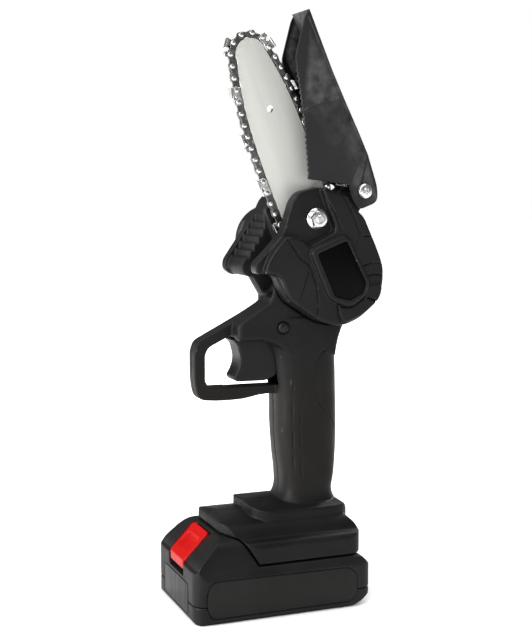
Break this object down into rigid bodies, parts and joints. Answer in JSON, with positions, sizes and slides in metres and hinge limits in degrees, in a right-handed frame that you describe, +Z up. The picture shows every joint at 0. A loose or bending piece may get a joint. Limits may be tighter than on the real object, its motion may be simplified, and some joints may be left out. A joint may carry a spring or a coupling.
{
  "type": "battery chainsaw",
  "caption": "One-hand battery chainsaw: tilted guide bar with saw chain, hinged chain guard, sprocket cover, pistol grip with trigger loop, and slide-on battery.",
  "frame": {"origin": "centre of the battery's flat underside, on which the saw stands", "axes": "+Z up along the grip; -X towards the trigger and finger loop, +X to the rear; -Y the side of the sprocket cover and bar nut, +Y the side of the motor"},
  "size_m": [0.113, 0.086, 0.3261],
  "materials": {
    "body_plastic": "fine-grained moulded black plastic",
    "cover_plastic": "satin moulded black plastic",
    "window_plastic": "smooth black plastic inlay",
    "guard_plastic": "satin moulded black plastic",
    "trigger_plastic": "satin moulded black plastic",
    "battery_plastic": "satin moulded black plastic",
    "black_plastic": "plain black plastic",
    "red_plastic": "bright red plastic",
    "bar_steel": "ground light grey steel",
    "chain_steel": "bright cutters and darker straps",
    "bright_steel": "bright zinc-plated steel",
    "dark_steel": "dark oiled steel",
    "copper": "lacquered copper windings on a steel core",
    "battery_label": "plain satin label panel, dark grey",
    "cell_wrap": "shrink-wrapped cell",
    "board_green": "circuit board",
    "red_wire": "insulated wire",
    "black_wire": "insulated wire"
  },
  "bodies": {
    "saw_body": {"housing_left": "body_plastic", "housing_right": "body_plastic", "motor_cap": "body_plastic", "sprocket_cover": "cover_plastic", "cover_window": "window_plastic", "bar_nut": "bright_steel", "bar_stud": "bright_steel", "guide_bar": "bar_steel", "saw_chain": "chain_steel", "bearing_near": "bright_steel", "bearing_far": "bright_steel", "gearbox_plate": "bright_steel", "motor_can": "dark_steel", "motor_end_bell": "black_plastic", "motor_screw_1": "bright_steel", "motor_screw_2": "bright_steel", "tension_block": "dark_steel", "tension_screw": "bright_steel", "guard_pivot_screw": "bright_steel", "guard_pivot_nut": "bright_steel", "guard_spring": "bright_steel", "trigger_pin": "bright_steel", "trigger_spring": "bright_steel", "switch_body": "black_plastic", "foot_terminals": "black_plastic", "wire_supply_red": "red_wire", "wire_supply_black": "black_wire", "wire_motor_red": "red_wire", "wire_motor_black": "black_wire", "housing_screw_1": "dark_steel", "housing_screw_2": "dark_steel", "housing_screw_3": "dark_steel", "housing_screw_4": "dark_steel", "housing_screw_5": "dark_steel"},
    "guard": {"chain_guard": "guard_plastic"},
    "trigger_lever": {"trigger": "trigger_plastic"},
    "plunger": {"switch_plunger": "red_plastic"},
    "lock": {"lock_button": "trigger_plastic"},
    "output": {"output_shaft": "bright_steel", "output_gear": "dark_steel", "drive_sprocket": "dark_steel", "sprocket_clip": "bright_steel"},
    "rotor": {"motor_rotor": "copper", "motor_pinion": "dark_steel"},
    "battery": {"battery_label_near": "battery_label", "battery_label_far": "battery_label", "battery_label_front": "battery_label", "battery_case_upper": "battery_plastic", "battery_case_lower": "battery_plastic", "battery_board": "board_green", "battery_terminals": "black_plastic", "release_spring": "bright_steel", "cell_1": "cell_wrap", "cell_2": "cell_wrap", "cell_3": "cell_wrap", "cell_4": "cell_wrap", "cell_5": "cell_wrap"},
    "release": {"release_button": "red_plastic"}
  },
  "joints": [
    {"name": "guard_hinge", "type": "hinge", "parent": "saw_body", "child": "guard", "pos_m": [0.05257, -0.009, 0.22935], "axis": [0, 1, 0], "range_deg": [0, 95], "stiffness_Nm_per_rad": 0.1, "springref_deg": -20.05},
    {"name": "trigger_hinge", "type": "hinge", "parent": "saw_body", "child": "trigger_lever", "pos_m": [-0.007, 0, 0.153], "axis": [0, -1, 0], "range_deg": [0, 12], "stiffness_Nm_per_rad": 0.8, "springref_deg": -14.32, "deforming": ["trigger_spring"]},
    {"name": "switch_plunger_slide", "type": "slide", "parent": "saw_body", "child": "plunger", "axis": [1, 0, 0], "range_m": [0, 0.0031]},
    {"name": "lock_button_slide", "type": "slide", "parent": "saw_body", "child": "lock", "axis": [0, 1, 0], "range_m": [0, 0.004], "stiffness_N_per_m": 400, "springref_m": -0.004},
    {"name": "output_spin", "type": "hinge", "parent": "saw_body", "child": "output", "pos_m": [0.03722, 0, 0.17697], "axis": [0, 1, 0], "continuous": true},
    {"name": "motor_spin", "type": "hinge", "parent": "saw_body", "child": "rotor", "pos_m": [0.02165, 0.03, 0.20024], "axis": [0, 1, 0], "continuous": true},
    {"name": "battery_slide", "type": "slide", "parent": "saw_body", "child": "battery", "axis": [-1, 0, 0], "range_m": [0, 0.09]},
    {"name": "release_button_slide", "type": "slide", "parent": "battery", "child": "release", "axis": [0.7163, 0, -0.6978], "range_m": [0, 0.002], "stiffness_N_per_m": 900, "springref_m": -0.003, "deforming": ["release_spring"]}
  ],
  "couplings": [
    {"joint": "motor_spin", "follows": "output_spin", "ratio": -3},
    {"joint": "switch_plunger_slide", "follows": "trigger_hinge", "m_per_rad": 0.0143}
  ]
}
